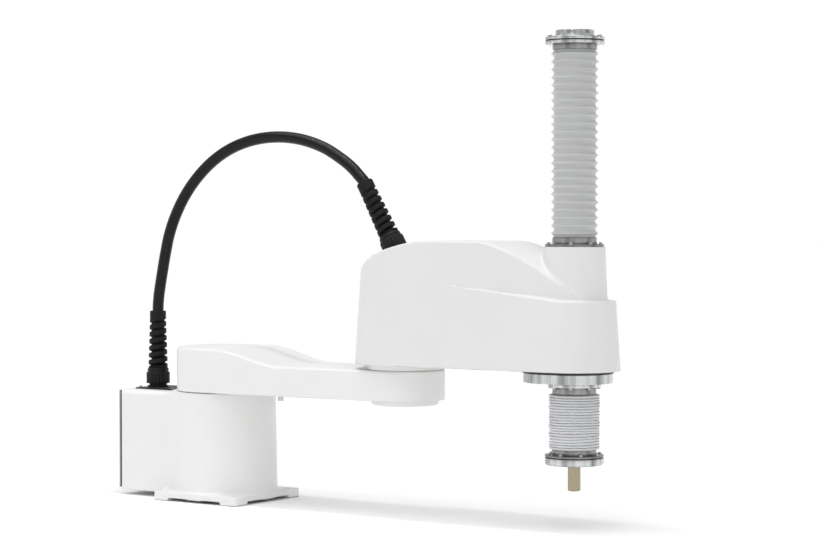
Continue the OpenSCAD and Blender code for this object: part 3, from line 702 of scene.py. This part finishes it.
def relief_part():
    """Flexible boot: one raised spiral band on a thinner core, with a plain sleeve at each end."""
    n, z0, z1, turns = 72, 31.2, 125.0, 7.0
    zs = np.arange(z0, z1 + 0.01, 0.42)
    a = np.arange(n) * 2 * math.pi / n
    p0, p1 = 33.0, 114.0
    pitch = (p1 - p0) / turns
    zz, aa = np.meshgrid(zs, a, indexing="ij")
    k = (zz - p0) / pitch - aa / (2 * math.pi)
    ph = k - np.floor(k)
    s = (zz - p0) / (p1 - p0)
    notch = np.clip(1 - np.abs(ph - 0.5) / 0.27, 0, 1)
    notch = np.where(notch > 0, 0.18 * notch + 0.82 * edge(notch), 0)
    notch *= edge((zz - p0) / 3.0) * edge((p1 - zz) / 4.0)
    core, crest = WIRE_R + 1.15, 15.9 - 2.7 * s
    crown = np.abs(2 * np.clip((ph + 0.5) % 1.0, 0, 1) - 1) ** 4
    r = crest - (crest - core) * notch - 0.35 * (1 - notch) * crown
    r = np.where(zz < p0, 15.8 - 1.5 * edge((zz - z0 - 0.8) / 1.0), r)
    r = np.where(zz > p1, 13.2 - 0.6 * edge((zz - z1 + 1.2) / 1.2), r)
    v = np.stack([r * np.cos(aa), r * np.sin(aa), zz], -1).reshape(-1, 3)
    m = len(zs)
    f = [(i * n + j, i * n + (j + 1) % n, (i + 1) * n + (j + 1) % n, (i + 1) * n + j)
         for i in range(m - 1) for j in range(n)]
    inner = np.vstack([np.stack([BORE_R * np.cos(a), BORE_R * np.sin(a), 0 * a + z], -1)
                       for z in (z0, z1)])
    base = len(v)
    v = np.vstack([v, inner])
    for j in range(n):
        l = (j + 1) % n
        f += [(base + j, base + n + j, base + n + l, base + l), (j, base + j, base + l, l),
              ((m - 1) * n + j, (m - 1) * n + l, base + n + l, base + n + j)]
    return v, f


AT1 = Matrix.Translation(Vector((-GLAND_X, 0, GLAND_Z)))
AT2 = Matrix.Translation(ROOT2) @ Matrix.Rotation(-LEAN, 4, "Y")
for at, body in ((AT1, "base"), (AT2, "arm2")):
    gland, relief = body + "_gland", body + "_strain_relief"
    add(gland + "_vis", *placed(gland_part(), at), MAT["black"], body,
        "black_plastic", [gland], sharp=32)
    add(relief + "_vis", *placed(relief_part(), at), MAT["relief"], body,
        "black_plastic", [relief], sharp=60)

# the conduit's centreline as (x, z), from gland to gland
foot_a = [(-GLAND_X, GLAND_Z + s) for s in (4, 44, 84, 120)]
mid = [(-143.6, 318), (-139.8, 341), (-134.8, 365), (-128.4, 394), (-120, 425), (-107, 455),
       (-88, 486), (-62, 516), (-28, 543.6), (12, 564.4), (58, 577), (106, 580.5), (152, 575.5),
       (195, 562.5), (230, 544), (250, 530.2), (264, 517.3)]
foot_b = [(ROOT2.x - s * math.sin(LEAN), ROOT2.z + s * math.cos(LEAN)) for s in (126, 114, 84, 44, 4)]
route = np.array(foot_a + mid + foot_b, float)


def spline(p, per):
    """A smooth curve through points, with per steps between neighbours."""
    out = []
    n = len(p) - 1
    for i in range(n):
        a, b, c, d = p[max(i - 1, 0)], p[i], p[i + 1], p[min(i + 2, n)]
        for t in np.arange(per) / per:
            out.append(0.5 * (2 * b + (c - a) * t + (2 * a - 5 * b + 4 * c - d) * t * t
                              + (3 * b - a - 3 * c + d) * t ** 3))
    out.append(p[-1])
    return np.array(out)


wire = spline(route, 10)
split = int(np.argmin(np.abs(wire[:, 0] - 74)))  # near the top; the halves share this ring
half_a = tube(wire[:split + 1], WIRE_R, 40)
half_b = tube(wire[split:], WIRE_R, 40)
pa = add("conduit_lower", *half_a, MAT["conduit"], None, "conduit_black", ["umbilical"], sharp=50)
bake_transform(pa)
pb = add("conduit_upper", *half_b, MAT["conduit"], None, "conduit_black", [], sharp=50)
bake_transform(pb)


# ---------------------------------------------------------------- quill: flanges, collars, discs
def ring(ro, ri, z0, z1, c, n=96):
    return [revolve(ring_profile(ro, ri, z0, z1, c), n)]


def screws(d, n, r, a0, z, flip=False):
    return [around(socket_screw(d), n, r, a0, (0, 0, z), flip)]


CAP_PROFILE = [(0, 6), (12, 6), (12, 0), (42.8, 0), (43.3, 0.4), (43.4, 0.7), (43.4, 3.7), (43.2, 4.1),
               (42.7, 4.4), (29.6, 4.4), (28.9, 4.7), (28.4, 5.4), (28.4, 13.4), (28.1, 14.1),
               (27.4, 14.4), (17, 14.4), (16.4, 13.9), (15.6, 13.9), (15, 14.4), (0, 14.4)]
DISC_PROFILE = [(11, -10.3), (40.4, -10.3), (41.6, -10.1), (43.2, -8.5), (43.4, -7.9), (43.4, -0.7),
                (43.2, -0.2), (42.8, 0), (22.3, 0), (22.3, -8.5), (11, -8.5)]
cap_part = revolve([(r, CAP_Z + z) for r, z in CAP_PROFILE], 128)
disc_part = revolve([(r, LO_DISC + z) for r, z in DISC_PROFILE], 128)

# CAD node that the piece replaces, its parts, material, body, slot
J3_STACK = [
    ("upper_flange", ring(43, 25, TUBE_TOP, FLANGE_TOP, 0.5, 128), "flange", "arm2", "polished_steel"),
    ("upper_flange_screws", screws(3, 8, 38.5, 22.5, FLANGE_TOP), "screw", "arm2", "screw_steel"),
    ("upper_collar", ring(32.4, 24, FLANGE_TOP, UP0, 0.8), "collar", "arm2", "collar_grey"),
    ("lower_flange", ring(39, 24, FLANGE_LOW, PLATE_LOW, 0.6, 128), "disc", "arm2", "polished_steel"),
    ("lower_flange_screws", screws(3, 8, 35.7, 22.5, FLANGE_LOW, True), "screw", "arm2", "screw_steel"),
    ("lower_collar", ring(32, 24, LO1, FLANGE_LOW, 0.8), "collar", "arm2", "collar_grey"),
    ("top_collar", ring(32.4, 24, UP1, DISC_Z, 0.8), "collar", "quill", "collar_grey"),
    ("top_disc", ring(43.4, 22.3, DISC_Z, GASKET_Z, 0.7, 128), "disc", "quill", "polished_steel"),
    ("top_gasket", ring(42.6, 22.3, GASKET_Z, CAP_Z, 0.3), "gasket", "quill", "gasket_black"),
    ("top_cap", [cap_part], "disc", "quill", "polished_steel"),
    ("top_cap_screws", screws(4, 6, 36, 30, CAP_TOP), "screw", "quill", "screw_steel"),
    ("bottom_collar", ring(32.4, 24, LO_RING, LO0, 0.8), "collar", "quill", "collar_grey"),
    ("bottom_ring", ring(43.2, 22.3, LO_GASKET, LO_RING, 0.5, 128), "flange", "quill", "collar_grey"),
    ("bottom_ring_screws", screws(3, 8, 38.5, 0, LO_RING), "screw", "quill", "screw_steel"),
    ("bottom_gasket", ring(42.4, 22.3, LO_DISC, LO_GASKET, 0.3), "gasket", "quill", "gasket_black"),
    ("bottom_disc", [disc_part], "disc", "quill", "polished_steel"),
]
for node, parts, mat, body, slot in J3_STACK:
    v, f = join(parts)
    add(node + "_vis", v + np.array([J3X, 0, 0]), f, MAT[mat], body, slot, [node],
        sharp=40 if node in ("top_cap", "bottom_disc") else 34)


def slot_field(x, y, z):
    """The plate under arm 2: two half circles of radius 56, 22 mm apart, and a round bore."""
    x = x - J3X
    d = np.hypot(x - np.clip(x, -22, 0), y) - 56
    d = rint(d, np.abs(z - (A2_Z - 10.3)) - 7.3, 1.2)  # middle height, half thickness
    return np.maximum(d, 24 - np.hypot(x, y))


# the plate takes the disc material with its painted reflection bands
field_piece("quill_plate_vis", slot_field, (J3X - 78, -56, PLATE_LOW), (J3X + 56, 56, A2_Z - 3), 1.5,
            MAT["disc"], "arm2", "polished_steel", ["quill_plate"])


# ---------------------------------------------------------------- bellows
def upper_fold(t):
    """Share of the fold's depth along one fold: broad round roots, narrow crests."""
    tri = 1 - np.abs(2 * (t % 1.0) - 1)
    return 0.45 * tri ** 1.5 + 0.55 * (1 - np.sqrt(1 - (0.985 * tri) ** 2)) / 0.8275


def lower_fold(t):
    """Closed folds: fat round crests that press on each other."""
    return np.abs(np.sin(math.pi * t)) ** 0.55


def bellows_strip(z0, z1, folds, ro, ri, fold, per, nseg=96, warp=None, first=0):
    """A thin sleeve; warp(fold count, angle) gives how far its folds stray in radius and height."""
    t = np.linspace(0, folds, folds * per + 1)
    a = np.arange(nseg) * 2 * math.pi / nseg
    z = z0 + (z1 - z0) * t / folds
    r = ri + (ro - ri) * fold(t)
    dr, dz = warp((t + first)[:, None], a[None, :]) if warp else (0, 0)
    rr = r[:, None] + dr + 0 * a[None, :]
    zz = z[:, None] + dz + 0 * a[None, :]
    rows = []
    for q in (rr, rr - 0.6):  # outside, and inside by the wall
        rows.append(np.stack([q * np.cos(a), q * np.sin(a), zz], -1).reshape(-1, 3))
    m, k = len(t), len(t) * nseg
    f = []
    for i in range(m - 1):
        for j in range(nseg):
            l = (j + 1) % nseg
            f.append((i * nseg + j, i * nseg + l, (i + 1) * nseg + l, (i + 1) * nseg + j))
            f.append((k + i * nseg + j, k + (i + 1) * nseg + j,
                      k + (i + 1) * nseg + l, k + i * nseg + l))
    e = (m - 1) * nseg
    for j in range(nseg):
        l = (j + 1) % nseg
        f += [(j, k + j, k + l, l), (e + j, e + l, k + e + l, k + e + j)]
    return np.vstack(rows), f


def soft_folds(c, a):
    """Open folds: a slight lean and a slight wander of the crests."""
    sway = 0.35 * np.sin(math.pi * c / UP_FOLDS)
    return 0.18 * np.sin(1.7 * c + 1.0 * a), sway * np.sin(a + 0.9 * c)


up = bellows_strip(UP0 + 0.1, UP1 - 0.1, UP_FOLDS, 35.4, 30.2, upper_fold, 14, warp=soft_folds)
ob = add("upper_bellows_vis", up[0] + np.array([J3X, 0, 0]), up[1], MAT["bellows"], "arm2",
         "bellows_film", ["upper_bellows"], sharp=80)
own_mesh(ob)

SEED, DRAWS = 11, 25
rng = np.random.default_rng(SEED)
crest_off = rng.uniform(-0.75, 0.75, DRAWS)
tilt_amp = rng.uniform(0.1, 0.95, DRAWS)
tilt_dir = rng.uniform(0, 2 * math.pi, DRAWS)
LO_ALL = LO_PARTS * LO_FOLDS


def closed_folds(c, a):
    """Closed folds sit unevenly: each has its own radius, tilt and sag."""
    k = np.clip(np.floor(c).astype(int), 0, LO_ALL - 1)
    crest = np.abs(np.sin(math.pi * c))
    rim = np.sin(math.pi * np.clip(c / LO_ALL, 0, 1)) ** 0.5
    dr = crest * rim * (crest_off[k] + 0.35 * np.sin(3 * a + 2.0 * k))
    dz = crest * rim * tilt_amp[k] * np.sin(a + tilt_dir[k])
    dz = dz + rim * (0.5 * np.sin(a + 0.5 * c) + 0.5 * np.sin(2 * a + 0.33 * c))
    return dr, dz


# the sections are cut at even shares of the shut length
for i in range(LO_PARTS):
    za, zb = LO1 - LO_SHUT * i / LO_PARTS, LO1 - LO_SHUT * (i + 1) / LO_PARTS
    sub = bellows_strip(zb, za, LO_FOLDS, 37.4, 34.9, lower_fold, 10, 96, closed_folds,
                        LO_FOLDS * (LO_PARTS - 1 - i))
    o = add("lower_bellows_%d" % (i + 1), sub[0] + np.array([J3X, 0, 0]), sub[1], MAT["bellows_lo"],
            None, "bellows_film", ["lower_bellows"] if i == 0 else [], sharp=80)
    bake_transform(o)


# ---------------------------------------------------------------- carried-over CAD nodes
def keep(mat, *nodes):
    """CAD nodes whose shape is right take a material in all their slots."""
    for n in nodes:
        mats = NODES[n].data.materials
        if len(mats) == 0:
            mats.append(MAT[mat])
        for i in range(len(mats)):
            mats[i] = MAT[mat]


keep("panel", "rear_panel")
keep("black", "rear_connectors")
keep("plate", "gland_plate")
keep("gasket", "quill_gasket")
keep("belt", "j3_belt", "j4_belt")
keep("motor", "j1_motor", "j2_motor", "j3_motor", "j4_motor")
keep("casting_cad", "arm2_frame")
keep("pulley", "ball_nut_pulley", "spline_nut_pulley", "j3_motor_pulley", "j4_motor_pulley", "stop_pin")
keep("steel", "j1_reducer", "j1_wave_generator", "j1_output_flange", "j2_reducer",
     "j2_wave_generator", "j2_output_flange", "ball_nut", "spline_nut", "ball_nut_bearing",
     "spline_nut_bearing", "top_bearing", "bottom_bearing")
keep("screw", "rear_panel_screws", "gland_plate_screws", "cover_screws")
keep("shaft", "quill_shaft")


# ---------------------------------------------------------------- stage
world = bpy.data.worlds.new("studio")
scene.world = world
world.use_nodes = True
wt = world.node_tree
back = wt.nodes["Background"]
wc = wt.nodes.new("ShaderNodeTexCoord")
sep = wt.nodes.new("ShaderNodeSeparateXYZ")
wt.links.new(wc.outputs["Generated"], sep.inputs["Vector"])
wr = wt.nodes.new("ShaderNodeValToRGB")
sky = ((0.10, (1, 1, 1, 1)), (0.42, (0.52, 0.52, 0.525, 1)))  # low, high
for stop, (pos, tone) in zip(wr.color_ramp.elements, sky):
    stop.position = pos
    stop.color = tone
wt.links.new(sep.outputs["Z"], wr.inputs["Fac"])
wt.links.new(wr.outputs["Color"], back.inputs["Color"])
back.inputs["Strength"].default_value = 1.03
scene.view_settings.view_transform = "Standard"


def light(name, kind, power, toward, at=(0, 0, 0)):
    d = bpy.data.lights.new(name, kind)
    d.energy = power
    o = bpy.data.objects.new(name, d)
    o.location = at
    o.rotation_euler = Vector(toward).to_track_quat("-Z", "Y").to_euler()
    scene.collection.objects.link(o)
    return d


# a wide soft sun from above and behind the camera
key = light("key", "SUN", 1.72, -(-ahead * 0.55 - side * 0.5 + Vector((0, 0, 2.3))))
key.angle = math.radians(75)
# a narrow overhead strip, for the bright line along the conduit
strip_at = Vector((0.25, -0.15, 2.35))
strip = light("strip", "AREA", 9.0, Vector((0.25, -0.05, 0.5)) - strip_at, strip_at)
strip.shape = "RECTANGLE"
strip.size, strip.size_y = 1.5, 0.06

FLOOR_HALF, FLOOR_Z = 30, -0.0006  # metres
floor_m = Mat("floor", Roughness=0.9)
floor_m.set("Base Color", floor_m.ramp(floor_m.noise(3, 2), [(0.3, 0.93), (0.7, 0.95)]))
fl = bpy.data.meshes.new("floor")
fl.from_pydata([(x * FLOOR_HALF, y * FLOOR_HALF, FLOOR_Z)
                for x, y in ((-1, -1), (1, -1), (1, 1), (-1, 1))], [], [(0, 1, 2, 3)])
fl.materials.append(floor_m.m)
floor = bpy.data.objects.new("floor", fl)
scene.collection.objects.link(floor)
